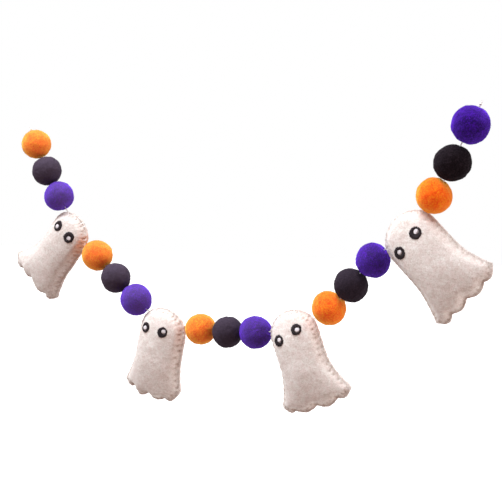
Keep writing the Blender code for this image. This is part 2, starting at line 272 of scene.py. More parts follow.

# The wools: dark, plain and light fibres, soft patches that darken and lighten them, the glow of
# their fuzz, and the painted haze of light that is added to the left end's colour.
Wool = namedtuple(
    "Wool", "dark plain light patch_low patch_high sheen sheen_roughness sheen_tint faded"
)
WOOLS = {
    "orange": Wool(
        (0.88, 0.035, 0.001), (1.0, 0.125, 0.001), (1.0, 0.36, 0.015),
        (1.0, 0.56, 0.45), (1.0, 1.0, 1.0),
        1.0, 0.5, (1.0, 0.78, 0.15), (0.0, 0.08, 0.03)
    ),
    "black": Wool(
        (0.004, 0.002, 0.003), (0.009, 0.005, 0.007), (0.022, 0.014, 0.019),
        (0.8, 0.8, 0.8), (1.1, 1.1, 1.1),
        0.03, 0.3, (0.80, 0.65, 0.90), (0.050, 0.037, 0.057)
    ),
    "purple": Wool(
        (0.003, 0.000, 0.012), (0.008, 0.000, 0.050), (0.066, 0.004, 0.37),
        (0.72, 0.72, 0.72), (1.15, 1.15, 1.15),
        1.0, 0.6, (0.21, 0.065, 1.0), (0.072, 0.046, 0.12)
    ),
    "ivory": Wool(
        (0.68, 0.605, 0.56), (0.825, 0.765, 0.735), (0.92, 0.88, 0.865),
        (0.95, 0.88, 0.86), (1.0, 1.0, 0.98),
        0.5, 0.5, (1.0, 0.97, 0.95), None
    ),
}
WOOL_ROUGHNESS = 0.95
WOOL_SPECULAR = 0.08
WOOL_BUMP = 0.9
WOOL_BUMP_HEIGHT = 0.32 * MM
FUZZ_SHARE = 0.4

# The noises that colour and roughen the fibres, and where their colours change.
Grain = namedtuple("Grain", "scale detail roughness distortion")
PATCHES = Grain(240.0, 3.0, 0.6, 1.0)
MATTING = Grain(520.0, 6.0, 0.78, 2.2)
FUZZ = Grain(3400.0, 2.0, 0.6, 0.5)
STREAKS = Grain(1.0, 4.0, 0.65, 1.2)
FLOSS_GRAIN = Grain(3200.0, 3.0, 0.6, 1.5)
PATCH_STOPS = (0.36, 0.64)
MATTING_STOPS = (0.40, 0.5, 0.61)
STREAK_STOPS = (0.36, 0.62)
FLOSS_STOPS = (0.3, 0.7)

# Sheet felt's streaks, the brown of the shade painted at each stitch hole, and between which
# places the painted haze of light on the left end fades away.
STREAK_WAVES = (110.0, 200.0, 330.0)
STREAK_DARK = (0.88, 0.85, 0.83)
# The brown that the painted shade at each stitch hole and hem cut darkens the felt towards.
HOLE_SHADE_COLOUR = (0.30, 0.18, 0.12)
WHITE = (1.0, 1.0, 1.0)
HAZE_FROM = 0.13
HAZE_TO = 0.375

# The threads: their plain and dark fibres, how rough they are and how much they glow.
Floss = namedtuple("Floss", "name plain dark roughness sheen")
FLOSSES = {
    "floss": Floss("floss_ivory", (0.90, 0.82, 0.75), (0.78, 0.68, 0.60), 0.7, 0.2),
    "eye_black": Floss("floss_black", (0.030, 0.018, 0.022), (0.010, 0.005, 0.007), 0.75, 0.0),
    "eye_white": Floss("floss_white", (0.84, 0.79, 0.80), (0.60, 0.54, 0.57), 0.6, 0.2),
    "thread": Floss("cotton_thread", (0.93, 0.91, 0.88), (0.78, 0.75, 0.71), 0.75, 0.4),
}
FLOSS_SPECULAR = 0.3
FLOSS_BUMP = 0.4
FLOSS_BUMP_HEIGHT = 0.1 * MM

# The photograph's view: its lens, its place, and its degrees to the right and down.
SENSOR_WIDTH = 36.0
LENS = 69.24
CAMERA_PLACE = (0.57660, -0.62371, -0.04583)
CAMERA_RIGHT = 30
CAMERA_DOWN = 4

# The stage: the floor's size, place and brightness, the soft key light from above, the soft
# light that bounces up from the right, and the white room, which is brightest at its sides and
# dimmest on the side of the camera: its colour at shares of the way round.
FLOOR_HALF = 6.0
FLOOR_ACROSS = 0.2
FLOOR_DROP = 0.62
FLOOR_WHITE = (0.9, 0.9, 0.9, 1.0)
FLOOR_GLOW = 0.7
KEY_PLACE = (-0.04, -0.40, 1.05)
KEY_TARGET = (0.19, 0.0, -0.1)
KEY_POWER = 30.0
KEY_SIZE = 1.2
KEY_COLOUR = (0.86, 0.94, 1.0)
BOUNCE_PLACE = (1.30, 0.15, -0.75)
BOUNCE_TARGET = (0.25, 0.0, -0.1)
BOUNCE_POWER = 17.0
BOUNCE_SIZE = 1.0
BOUNCE_COLOUR = (1.0, 0.98, 0.96)
DIM_SIDE = (0.50, -0.86, -0.22)
ROOM_STRENGTH = 2.0
ROOM = [
    (0.04, (0.30, 0.30, 0.305)),
    (0.28, (0.58, 0.58, 0.59)),
    (0.50, (0.64, 0.635, 0.64)),
    (0.62, (0.51, 0.49, 0.485)),
    (0.88, (0.11, 0.050, 0.032)),
]


def direction(slope):
    """The thread's unit direction at a slope in degrees, in the hanging plane."""
    return Vector((cos(radians(slope)), 0.0, sin(radians(slope))))


def lay_out_chain():
    """Walks along the thread and returns each piece's middle, and the thread's own points."""
    here = direction(CHAIN[0].slope) * (KNOT_TO_BALL - GAP / 2)
    middles = {}
    route = []
    for piece in CHAIN:
        along = direction(piece.slope)
        if piece.bare:
            route.append(here.copy())
            here = here + along * piece.bare * MM
        route.append(here.copy())
        here = here + along * GAP / 2
        middles[piece.name] = here + along * piece.run * MM / 2
        here = here + along * (piece.run * MM + GAP / 2)
    route.append(here.copy())
    return middles, route


def moved(points, matrix):
    """Points in an array, taken through a matrix."""
    turn = np.array(matrix.to_3x3())
    return points @ turn.T + np.array(matrix.translation)


def unit(rows):
    """Each row as a direction of length 1."""
    return rows / np.maximum(np.linalg.norm(rows, axis=1, keepdims=True), 1e-12)


def fading(distance, reach):
    """A soft fall from 1 towards 0, which is down to about a third at the reach."""
    return np.exp(-((distance / reach) ** 2))


def bumps(points, table, shift):
    """Smooth bumps at each point, from rows of height and waves for each metre."""
    total = np.zeros(len(points))
    for level, (height, waves) in enumerate(table):
        offset = Vector((shift, DEPTH_SHIFT * shift, LEVEL_SHIFT * level))
        total += height * np.array([noise.noise(Vector(p) * waves + offset) for p in points])
    return total


def new_object(name, points, faces, material):
    """A smooth object of one material, put into the scene."""
    mesh = bpy.data.meshes.new(name)
    mesh.from_pydata(points.tolist(), [], faces)
    mesh.validate()
    mesh.shade_smooth()
    mesh.materials.append(material)
    item = bpy.data.objects.new(name, mesh)
    bpy.context.scene.collection.objects.link(item)
    return item


def joined(parts):
    """Several (points, faces) pairs as one."""
    points, faces, start = [], [], 0
    for part_points, part_faces in parts:
        points.append(part_points)
        faces += [tuple(corner + start for corner in face) for face in part_faces]
        start += len(part_points)
    return np.vstack(points), faces


def fibres(roots, normals, rng, length, radius):
    """Short wool fibres that lean along the surface: closed spikes with three sides and one bend."""
    count = len(roots)
    lean = rng.normal(size=(count, 3))
    lean = unit(lean - normals * np.sum(lean * normals, axis=1, keepdims=True))
    reach = length * rng.uniform(*FIBRE_SHARES, (count, 1))
    way = unit(normals * rng.uniform(*FIBRE_STANDS, (count, 1)) + lean)
    bend = unit(way + FIBRE_STRAYS * rng.normal(size=(count, 3)))
    bend = unit(bend - normals * np.minimum(0.0, np.sum(bend * normals, axis=1, keepdims=True)))
    base = roots - normals * FIBRE_ROOT
    middle = base + way * reach * FIBRE_BEND_AT + normals * FIBRE_ARCH
    tip = middle + bend * reach * FIBRE_END
    side = unit(np.cross(way, normals))
    other = np.cross(way, side)
    points = np.empty((count, 7, 3))
    for corner in range(3):
        angle = 2 * pi * corner / 3
        offset = side * cos(angle) + other * sin(angle)
        points[:, corner] = base + offset * radius
        points[:, 3 + corner] = middle + offset * radius * FIBRE_TAPER
    points[:, 6] = tip
    faces = []
    for strand in range(count):
        a = 7 * strand
        faces.append((a + 2, a + 1, a))
        for corner in range(3):
            after = (corner + 1) % 3
            faces.append((a + corner, a + after, a + 3 + after, a + 3 + corner))
            faces.append((a + 3 + corner, a + 3 + after, a + 6))
    return points.reshape(-1, 3), faces


def tube(centres, radii, sides):
    """A closed round tube along a line of points, as points and faces."""
    centres = np.asarray(centres)
    ways = unit(np.gradient(centres, axis=0))
    first = np.array([0.0, 1.0, 0.0]) if abs(ways[0][1]) < 0.9 else np.array([1.0, 0.0, 0.0])
    points = []
    for centre, way, radius in zip(centres, ways, radii):
        first = first - way * (first @ way)
        first = first / np.linalg.norm(first)
        second = np.cross(way, first)
        for corner in range(sides):
            angle = 2 * pi * corner / sides
            points.append(centre + radius * (first * cos(angle) + second * sin(angle)))
    faces = [tuple(reversed(range(sides)))]
    for ring in range(len(centres) - 1):
        a = ring * sides
        for corner in range(sides):
            after = (corner + 1) % sides
            faces.append((a + corner, a + after, a + sides + after, a + sides + corner))
    last = (len(centres) - 1) * sides
    faces.append(tuple(last + corner for corner in range(sides)))
    return np.array(points), faces


def curved(corners, steps):
    """A smooth line through a few points."""
    corners = np.asarray(corners)
    ends = np.vstack([2 * corners[0] - corners[1], corners, 2 * corners[-1] - corners[-2]])
    line = []
    for start in range(1, len(ends) - 2):
        before, here, there, after = ends[start - 1:start + 3]
        for step in range(steps):
            t = step / steps
            line.append(
                0.5 * (2 * here + (there - before) * t
                       + (2 * before - 5 * here + 4 * there - after) * t ** 2
                       + (3 * here - before - 3 * there + after) * t ** 3)
            )
    line.append(corners[-1])
    return np.array(line)


def felt_ball(piece, middle, material, rng, shift):
    """A wet-felted ball: a lumpy wool surface, drawn in where the thread goes through, and fuzz."""
    bm = bmesh.new()
    bmesh.ops.create_icosphere(bm, subdivisions=BALL_DETAIL, radius=1.0)
    ways = np.array([point.co for point in bm.verts])
    faces = [tuple(point.index for point in face.verts) for face in bm.faces]
    bm.free()
    half_width, half_run = piece.width * MM / 2, piece.run * MM / 2
    points = ways * np.array([half_width, half_width, half_run])
    grown = bumps(points, BALL_BUMPS, shift) - BALL_DRAWN_IN
    from_pole = np.arccos(np.clip(np.abs(ways[:, 2]), 0.0, 1.0))
    grown -= DIMPLE_DEPTH * np.exp(-((from_pole / DIMPLE_ANGLE) ** 2))
    points = points + ways * grown[:, None]
    chosen = rng.integers(0, len(faces), BALL_FIBRES)
    corners = np.array(faces)[chosen]
    share = rng.dirichlet((1.0, 1.0, 1.0), BALL_FIBRES)[:, :, None]
    roots = np.sum(points[corners] * share, axis=1)
    normals = unit(np.sum(ways[corners] * share, axis=1))
    wool = fibres(roots, normals, rng, FIBRE_LENGTH, FIBRE_RADIUS)
    points, faces = joined([(points, faces), wool])
    turn = Matrix.Rotation(pi / 2 - radians(piece.slope), 4, "Y")
    place = Matrix.Translation(middle) @ turn
    return new_object(f"felt_{piece.name}", moved(points, place), faces, material)


def side_points(ghost, side, up):
    """Points of the left (-1) or right (+1) seam at heights above the hem."""
    half = ghost.half_width * MM
    shoulder = ghost.height * MM - half
    rise = np.clip((up - shoulder) / half, 0.0, 1.0)
    wide = half * (1.0 - rise ** DOME_POWER) ** (1.0 / DOME_POWER)
    flare = (ghost.flare_right if side > 0 else ghost.flare_left) * MM
    low = np.maximum(0.0, 1.0 - up / FLARE_TOP)
    return np.stack([side * (wide + flare * low ** FLARE_POWER) + ghost.sway * MM * low, up], axis=-1)


def hem_places(ghost):
    """Where a ghost's hem has its left corner, its cuts and its right corner, from -1 to 1."""
    return np.array([-1.0, *HEMS[ghost.name].cuts, 1.0])


def hem_line(ghost, u):
    """The straight lines from cut to cut that the hem's lobes hang from."""
    return np.interp(u, hem_places(ghost), HEMS[ghost.name].heights) * MM


def hem_heights(ghost, u):
    """The hem's heights over u, with its round lobes."""
    places, depths = hem_places(ghost), np.array(HEMS[ghost.name].depths)
    lobe = np.clip(np.searchsorted(places, u, side="right") - 1, 0, len(depths) - 1)
    share = (u - places[lobe]) / (places[lobe + 1] - places[lobe])
    return hem_line(ghost, u) - depths[lobe] * MM * np.sin(pi * share)


def seams(ghost, u, v):
    """The four seams of a ghost's pattern: left and right over v, hem and top over u."""
    half = ghost.half_width * MM
    shoulder = ghost.height * MM - half
    left_corner, right_corner = hem_line(ghost, np.array([-1.0, 1.0]))
    top_up = shoulder + half * cos(SHOULDER_ANGLE)
    left = side_points(ghost, -1, left_corner + (top_up - left_corner) * v)
    right = side_points(ghost, 1, right_corner + (top_up - right_corner) * v)
    left_ends = side_points(ghost, -1, np.array([left_corner, top_up]))
    right_ends = side_points(ghost, 1, np.array([right_corner, top_up]))
    share = (u + 1) / 2
    hem_across = left_ends[0, 0] + (right_ends[0, 0] - left_ends[0, 0]) * share
    hem = np.stack([hem_across, hem_heights(ghost, u)], axis=-1)
    half_top = np.where(u > 0, right_ends[1, 0], -left_ends[1, 0])
    angle = SHOULDER_ANGLE * u
    top_across = half_top * np.sin(angle) / sin(SHOULDER_ANGLE)
    top = np.stack([top_across, shoulder + half * np.cos(angle)], axis=-1)
    return left, right, hem, top, left_ends, right_ends


def pattern_grid(ghost, u, v):
    """The flat pattern's points over a grid of u and v: a smooth patch between its seams."""
    left, right, hem, top, left_ends, right_ends = seams(ghost, u, v)
    across = ((u + 1) / 2)[None, :, None]
    upward = v[:, None, None]
    sides = left[:, None] * (1 - across) + right[:, None] * across
    ends = hem[None] * (1 - upward) + top[None] * upward
    corners = (left_ends[0] * (1 - across) + right_ends[0] * across) * (1 - upward)
    corners = corners + (left_ends[1] * (1 - across) + right_ends[1] * across) * upward
    return sides + ends - corners


def eased(count):
    """Shares from -1 to 1 that lie closer together at both ends."""
    share = np.linspace(-1.0, 1.0, count + 1)
    return (share + np.sin(share * pi / 2)) / 2


class Rim:
    """The closed outline of a ghost's pattern, its way out, and where the stitches lie on it."""

    def __init__(self, ghost, sewing, rng):
        u = np.linspace(-1.0, 1.0, OUTLINE_STEPS)
        left, right, hem, top, _, _ = seams(ghost, u, (u + 1) / 2)
        self.points = np.vstack([hem[:-1], right[:-1], top[::-1][:-1], left[::-1][:-1]])
        steps = np.linalg.norm(np.roll(self.points, -1, axis=0) - self.points, axis=1)
        self.length = steps.sum()
        self.along = np.concatenate([[0.0], np.cumsum(steps)[:-1]])
        way = np.roll(self.points, -2, axis=0) - np.roll(self.points, 2, axis=0)
        for _ in range(OUTLINE_SMOOTHING):
            way = way + np.roll(way, 1, axis=0) + np.roll(way, -1, axis=0)
        self.out = unit(np.stack([way[:, 1], -way[:, 0]], axis=1))
        count = round(self.length / (sewing.pitch * MM))
        self.pitch = self.length / count
        strays = rng.uniform(*STITCH_STRAYS, count)
        self.stitches = (np.arange(count) + 0.5 + strays) * self.pitch
        self.insets = sewing.inset * MM * rng.uniform(*INSET_STRAYS, count)
        self.slants = sewing.slant * MM * rng.uniform(*SLANT_STRAYS, count)
        self.tight = sewing.tight * rng.uniform(*TIGHT_STRAYS, count)
        # How dark the painted shade at each stitch hole is.
        self.hole_shades = sewing.holes * rng.uniform(*HOLE_SHADE_STRAYS, count)
        cuts = np.array(HEMS[ghost.name].cuts)
        self.notches = self.along[np.rint((cuts + 1) / 2 * (OUTLINE_STEPS - 1)).astype(int)]
        self.creases = rng.uniform(*CREASE_STRAYS, len(cuts))

    def nearest(self, points):
        """For each pattern point: how far in from the rim it lies, where along it, and the way out."""
        inset = np.empty(len(points))
        along = np.empty(len(points))
        out = np.empty((len(points), 2))
        for start in range(0, len(points), NEAREST_BLOCK):
            rows = slice(start, start + NEAREST_BLOCK)
            gaps = np.linalg.norm(points[rows, None] - self.points[None], axis=2)
            best = gaps.argmin(axis=1)
            inset[rows] = gaps[np.arange(len(best)), best]
            along[rows] = self.along[best]
            out[rows] = self.out[best]
        return inset, along, out

    def place(self, along, inset):
        """The pattern point at a distance along the rim and in from it."""
        along = along % self.length
        after = np.searchsorted(self.along, along) % len(self.along)
        before = after - 1
        step = (self.along[after] - self.along[before]) % self.length
        share = ((along - self.along[before]) % self.length) / max(step, 1e-9)
        point = self.points[before] * (1 - share) + self.points[after] * share
        return point - self.out[before] * inset

    def pressed(self, inset, along, mirror):
        """How deep the stitches press the felt at each point, how far they pull it in, and how
        dark the shade painted at each stitch hole and hem cut is."""
        depth = np.zeros(len(inset))
        pull = np.zeros(len(inset))
        hole = np.zeros(len(inset))
        rows = zip(self.stitches, self.insets, self.slants, self.tight, self.hole_shades)
        for place, reach, slant, tight, dark in rows:
            beside = (along - place + self.length / 2) % self.length - self.length / 2
            near = np.abs(beside) < 2 * self.pitch
            line = mirror * slant * np.clip(1 - inset[near] / reach, 0.0, 1.0)
            off = beside[near] - line
            beyond = np.maximum(0.0, inset[near] - reach)
            groove = fading(off, GROOVE_WIDTH) * fading(beyond, GROOVE_FADE)
            pucker = fading(off, PUCKER_WIDTH) * fading(inset[near], PUCKER_REACH)
            from_hole = np.sqrt(beside[near] ** 2 + (inset[near] - reach) ** 2)
            pit = fading(from_hole, HOLE_WIDTH)
            depth[near] += tight * (STITCH_GROOVE * groove + STITCH_PUCKER * pucker + STITCH_HOLE * pit)
            drawn = fading(off, PULL_WIDTH) * fading(inset[near], PULL_REACH)
            pull[near] += tight * STITCH_PULL * drawn
            # Painted shade round the stitch hole, which darkens the felt's colour there.
            hole[near] = np.maximum(hole[near], dark * fading(from_hole, HOLE_SHADE_WIDTH))
        for place, crease in zip(self.notches, self.creases):
            beside = np.abs(along - place)
            fold = fading(beside, NOTCH_REACH) * fading(inset, CREASE_REACH)
            depth += crease * NOTCH_CREASE * fold
            # Painted shade along the crease that runs in from each cut of the hem.
            shade = fading(beside, SHADE_WIDTH) * fading(inset, SHADE_REACH)
            hole = np.maximum(hole, CREASE_SHADE * crease * shade)
        return depth, pull, hole


def panel(ghost, rim, side, shift):
    """One felt panel over the stuffing, front (-1) or back (+1): its points in the ghost's frame,
    pulled in along the outward ways of its rim, and how dark the shade painted at each stitch
    hole and hem cut is."""
    u, v = eased(PANEL_COLUMNS), (eased(PANEL_ROWS) + 1) / 2
    flat = pattern_grid(ghost, u, v).reshape(-1, 2)
    inset, along, out = rim.nearest(flat)
    depth, pull, hole = rim.pressed(inset, along, -side)
    u_here = np.tile(u, len(v))
    lowest = hem_line(ghost, u_here) - np.mean(HEMS[ghost.name].depths) * MM
    highest = np.tile(flat.reshape(len(v), len(u), 2)[-1, :, 1], len(v))
    share = np.clip((flat[:, 1] - lowest) / (highest - lowest), 0.0, 1.0)
    across = 1.0 - np.abs(u_here) ** CROWN_ACROSS
    upward = 1.0 - np.abs(2 * share - 1) ** CROWN_UP
    crown = ghost.puff * MM * np.sqrt(np.maximum(0.0, across * upward))
    crown *= 1.0 - np.exp(-((inset / PINCH) ** PINCH_POWER))
    solid = np.stack([flat[:, 0], side * crown, flat[:, 1]], axis=1)
    rough = bumps(solid, GHOST_BUMPS, shift + SIDE_SHIFT * side)
    rough *= np.minimum(1.0, RIM_ROUGHNESS + inset / CALM_REACH)
    high = np.maximum(THINNEST, RIM_HALF + crown + rough - depth)
    flat = flat - out * pull[:, None]
    return np.stack([flat[:, 0], side * high, flat[:, 1]], axis=1), hole


def ghost_body(ghost, rim, shift):
    """The two panels and the cut edge between them, as one closed surface in the ghost's frame."""
    front, front_shade = panel(ghost, rim, -1, shift)
    back, back_shade = panel(ghost, rim, 1, shift)
    columns, rows = PANEL_COLUMNS + 1, PANEL_ROWS + 1
    index = np.arange(columns * rows).reshape(rows, columns)
    border = np.concatenate([index[0, :-1], index[:-1, -1], index[-1, :0:-1], index[:0:-1, 0]])
    edge = front[border][:, [0, 2]]
    _, _, out = rim.nearest(edge)
    rings = [(outward * MM, -share) for outward, share in EDGE_RINGS]
    rings += [(outward, -share) for outward, share in reversed(rings)]
    edge_points = []
    for outward, share in rings:
        flat = edge + out * outward
        high = np.where(share < 0, -front[border][:, 1], back[border][:, 1]) * share
        edge_points.append(np.stack([flat[:, 0], high, flat[:, 1]], axis=1))
    points = np.vstack([front, back, *edge_points])
    faces = []
    grid = columns * rows
    for row in range(PANEL_ROWS):
        for column in range(PANEL_COLUMNS):
            a, b = int(index[row, column]), int(index[row, column + 1])
            d, c = int(index[row + 1, column]), int(index[row + 1, column + 1])
            faces.append((a, b, c, d))
            faces.append((grid + a, grid + d, grid + c, grid + b))
    loops = [border]
    for ring in range(len(rings)):
        loops.append(2 * grid + ring * len(border) + np.arange(len(border)))
    loops.append(grid + border)
    for inner, outer in zip(loops, loops[1:]):
        for here in range(len(border)):
            after = (here + 1) % len(border)
            faces.append((int(inner[here]), int(outer[here]), int(outer[after]), int(inner[after])))
    # Painted shade at each point: at each stitch hole and hem cut on both panels, none on the edge.
    holes = np.concatenate([front_shade, back_shade, np.zeros(len(points) - 2 * grid)])
    return points, faces, holes


def felt_ghost(ghost, middle, material, floss, rng, shift):
    """A stuffed ghost and its whip stitches, and the surface that its eyes are sewn on."""
    rim = Rim(ghost, SEWING[ghost.name], rng)
    points, faces, holes = ghost_body(ghost, rim, shift)
    surface = BVHTree.FromPolygons([Vector(p) for p in points], faces)
    quads = np.array([face for face in faces if len(face) == 4])
    chosen = quads[rng.integers(0, len(quads), GHOST_FIBRES)]
    corner = points[chosen]
    normals = unit(np.cross(corner[:, 2] - corner[:, 0], corner[:, 3] - corner[:, 1]))
    share = rng.uniform(*FIBRE_PLACES, (GHOST_FIBRES, 1))
    roots = corner[:, 0] * share + corner[:, 2] * (1 - share)
    wool = fibres(roots, normals, rng, FIBRE_LENGTH, FIBRE_RADIUS)
    place = place_of(ghost, middle)
    all_points, all_faces = joined([(points, faces), wool])
    body = new_object(f"felt_{ghost.name}", moved(all_points, place), all_faces, material)
    # Painted shade at each stitch hole and hem cut, kept on the points for the felt's colour.
    dark = body.data.attributes.new("painted_hole_shade", "FLOAT", "POINT")
    dark.data.foreach_set("value", np.concatenate([holes, np.zeros(len(wool[0]))]).astype(np.float32))
    stitches = joined([whip_stitch(rim, row, surface) for row in range(len(rim.stitches))])
    sewn = new_object(f"whip_stitches_{ghost.name}", moved(stitches[0], place), stitches[1], floss)
    return body, sewn, surface, place


def felt_height(surface, across, up, side):
    """How far the felt lies from the ghost's middle plane on one side, at a pattern point."""
    hit = surface.ray_cast(Vector((across, side * FAR_OUT, up)), Vector((0.0, -side, 0.0)))
    return abs(hit[0].y) if hit[0] else RIM_HALF


def whip_stitch(rim, row, surface):
    """One stitch over the felts' edge, from its hole in front to its hole behind."""
    place, reach, slant = rim.stitches[row], rim.insets[row], rim.slants[row]
    corners = []
    for share, lift in FLOSS_LINE:
        flat = rim.place(place + slant * share, reach * (1 - share))
        high = felt_height(surface, flat[0], flat[1], -1) + lift * MM
        corners.append((flat[0], -high, flat[1]))
    for turn in EDGE_TURNS:
        outward = EDGE_LIFT - EDGE_ROUND * abs(turn)
        flat = rim.place(place + slant * (1.0 + EDGE_SLANT * turn), STITCH_PULL - outward)
        corners.append((flat[0], turn * EDGE_HALF, flat[1]))
    for share, lift in reversed(FLOSS_LINE):
        flat = rim.place(place + slant * (2.0 - share), reach * (1 - share))
        high = felt_height(surface, flat[0], flat[1], 1) + lift * MM
        corners.append((flat[0], high, flat[1]))
    line = curved(corners, FLOSS_STEPS)
    return tube(line, [FLOSS_RADIUS] * len(line), FLOSS_SIDES)


def place_of(ghost, middle):
    """The matrix that takes a ghost's own frame to where it hangs on the thread."""
    turn = Matrix.Rotation(radians(ghost.turn), 4, "Y")
    pierced = Vector((ghost.thread_right * MM, 0.0, ghost.thread_up * MM))
    return Matrix.Translation(middle) @ turn @ Matrix.Translation(-pierced)


def raised(surface, tops, lift, closed_rows):
    """A closed raised patch on the felt, from rows of (across, up) points and their lifts.
    The rows are closed loops for a ring, or open runs for a patch."""
    rows, columns = lift.shape
    points = np.empty((2, rows, columns, 3))
    for row in range(rows):
        for column in range(columns):
            across, up = tops[row, column]
            felt = felt_height(surface, across, up, -1)
            points[0, row, column] = (across, -(felt + lift[row, column]), up)
            points[1, row, column] = (across, -(felt - PATCH_ROOT), up)
    index = np.arange(2 * rows * columns).reshape(2, rows, columns)
    faces = []
    spans = columns if closed_rows else columns - 1
    for row in range(rows - 1):
        for column in range(spans):
            after = (column + 1) % columns
            for layer in (0, 1):
                a, b = int(index[layer, row, column]), int(index[layer, row, after])
                d, c = int(index[layer, row + 1, column]), int(index[layer, row + 1, after])
                faces.append((a, b, c, d) if layer == 0 else (a, d, c, b))
    if closed_rows:
        loops = [index[:, 0, ::-1], index[:, -1, :]]
    else:
        around = [index[:, 0, ::-1], index[:, 1:, 0], index[:, -1, 1:], index[:, -2::-1, -1][:, :-1]]
        loops = [np.concatenate(around, axis=1)]
    for loop in loops:
        count = loop.shape[1]
        for here in range(count):
            after = (here + 1) % count
            top_here, top_after = int(loop[0, here]), int(loop[0, after])
            low_here, low_after = int(loop[1, here]), int(loop[1, after])
            faces.append((top_here, low_here, low_after, top_after))
    return points.reshape(-1, 3), faces


def facing_out(points, faces):
    """The same faces, all turned outward."""
    bm = bmesh.new()
    made = [bm.verts.new(p) for p in points]
    for face in faces:
        bm.faces.new([made[corner] for corner in face])
    bmesh.ops.recalc_face_normals(bm, faces=bm.faces)
    bm.verts.index_update()
    turned = [tuple(point.index for point in face.verts) for face in bm.faces]
    bm.free()
    return points, turned


def satin_ring(eye, surface, rng):
    """An eye's black ring: satin stitches side by side, from its hole outward."""
    steps = EYE_STITCHES * EYE_STITCH_STEPS
    angle = 2 * pi * np.arange(steps) / steps
    stitch = np.arange(steps) // EYE_STITCH_STEPS
    outer = (eye.radius + rng.uniform(*RING_OUTER_STRAYS, EYE_STITCHES)[stitch]) * MM
    inner = EYE_HOLE + rng.uniform(*RING_INNER_STRAYS, EYE_STITCHES)[stitch] * MM
    ridge = EYE_RIDGE * np.abs(np.sin(EYE_STITCHES * angle / 2))
    rows = len(RING_SHARES)
    tops = np.empty((rows, steps, 2))
    lift = np.empty((rows, steps))
    look = np.array([eye.look_across, eye.look_up]) * MM
    middle = np.array([eye.across, eye.up]) * MM
    for row, (share, crown) in enumerate(zip(RING_SHARES, RING_LIFTS)):
        radius = inner * (1 - share) + outer * share
        centre = middle + look * (1 - share)
        tops[row] = centre + np.stack([np.cos(angle), np.sin(angle)], axis=1) * radius[:, None]
        lift[row] = crown * MM + ridge * (1.0 if 0 < row < rows - 1 else 0.0)
    return facing_out(*raised(surface, tops, lift, True))


def satin_spot(eye, surface, rng):
    """An eye's white spot: a few satin stitches laid side by side across the hole."""
    columns = SPOT_STITCHES * SPOT_STITCH_STEPS + 1
    middle = np.array([eye.across + eye.look_across, eye.up + eye.look_up]) * MM
    lean = radians(rng.uniform(-SPOT_LEAN, SPOT_LEAN))
    turn = np.array([[cos(lean), -sin(lean)], [sin(lean), cos(lean)]])
    radius = EYE_HOLE - SPOT_CLEARANCE
    tops = np.empty((SPOT_ROWS, columns, 2))
    lift = np.empty((SPOT_ROWS, columns))
    reach = rng.uniform(*SPOT_STRAYS, SPOT_STITCHES + 1)
    for column in range(columns):
        share = column / (columns - 1) * 2 - 1
        stitch = column // SPOT_STITCH_STEPS
        wide = radius * max(SPOT_NARROWEST, 1 - share ** 2) ** 0.5 * reach[stitch]
        ridge = abs(sin(pi * column / SPOT_STITCH_STEPS))
        from_side = min(1.0, SPOT_SIDE_SLOPE * (1 - abs(share)) + SPOT_SIDE_START)
        for row in range(SPOT_ROWS):
            run = row / (SPOT_ROWS - 1) * 2 - 1
            tops[row, column] = middle + turn @ np.array([share * radius, run * wide])
            edge = min(1.0, SPOT_END_SLOPE * (1 - abs(run))) * from_side
            lift[row, column] = SPOT_RISE * edge - SPOT_SUNK + SPOT_RIDGE * ridge * edge
    return facing_out(*raised(surface, tops, lift, False))


def twisted_thread(route):
    """The two-ply thread: two strands wound round each other, finer where it shows."""
    first_way, last_way = direction(CHAIN[0].slope), direction(CHAIN[-1].slope)
    left_knot = Vector((0.0, 0.0, 0.0))
    right_knot = route[-1] + last_way * (KNOT_TO_BALL - GAP / 2)
    stops = [left_knot - first_way * THREAD_TAIL, *route, right_knot + last_way * THREAD_TAIL]
    centres, turns = [], []
    travelled = 0.0
    for start, end in zip(stops, stops[1:]):
        run = (end - start).length
        count = max(2, round(run / (FINE_STEP if run < FINE_BELOW else COARSE_STEP)))
        for step in range(count):
            centres.append(start.lerp(end, step / count))
            turns.append((travelled + run * step / count) / TWIST * 2 * pi)
        travelled += run
    centres.append(stops[-1])
    turns.append(travelled / TWIST * 2 * pi)
    centres = np.array(centres)
    ways = unit(np.gradient(centres, axis=0))
    across = np.array([0.0, 1.0, 0.0])
    parts = []
    for ply in range(2):
        angle = np.array(turns)[:, None] + pi * ply
        wound = across * np.cos(angle) + np.cross(ways, across) * np.sin(angle)
        parts.append(tube(centres + wound * PLY_OFFSET, [PLY_RADIUS] * len(centres), STRAND_SIDES))
    parts.append(tight_knot(np.array(left_knot), np.array(first_way)))
    parts.append(tight_knot(np.array(right_knot), np.array(last_way)))
    return joined(parts)


def tight_knot(centre, way):
    """A small overhand knot drawn tight round the thread: a trefoil, which reaches three times
    its scale from the middle."""
    t = np.linspace(0.0, 2 * pi, KNOT_POINTS)
    side = np.array([0.0, 1.0, 0.0])
    up = np.cross(way, side)
    scale = (KNOT_RADIUS - KNOT_STRAND) / 3
    loop = (
        np.outer(np.sin(t) + 2 * np.sin(2 * t), side)
        + np.outer(np.cos(t) - 2 * np.cos(2 * t), up)
        - KNOT_STRETCH * np.outer(np.sin(3 * t), way)
    )
    return tube(centre + loop * scale, [KNOT_STRAND] * len(t), STRAND_SIDES)


def fitted(owner, made, **inputs):
    """A node with each input set to a value or linked to a socket. Blanks in the name of an input
    are underscores here."""
    for name, value in inputs.items():
        socket = made.inputs[name.replace("_", " ")]
        if isinstance(value, bpy.types.NodeSocket):
            owner.node_tree.links.new(value, socket)
        else:
            socket.default_value = value
    return made


def add_node(owner, kind, **inputs):
    """A new node of a material or the world."""
    return fitted(owner, owner.node_tree.nodes.new(f"ShaderNode{kind}"), **inputs)


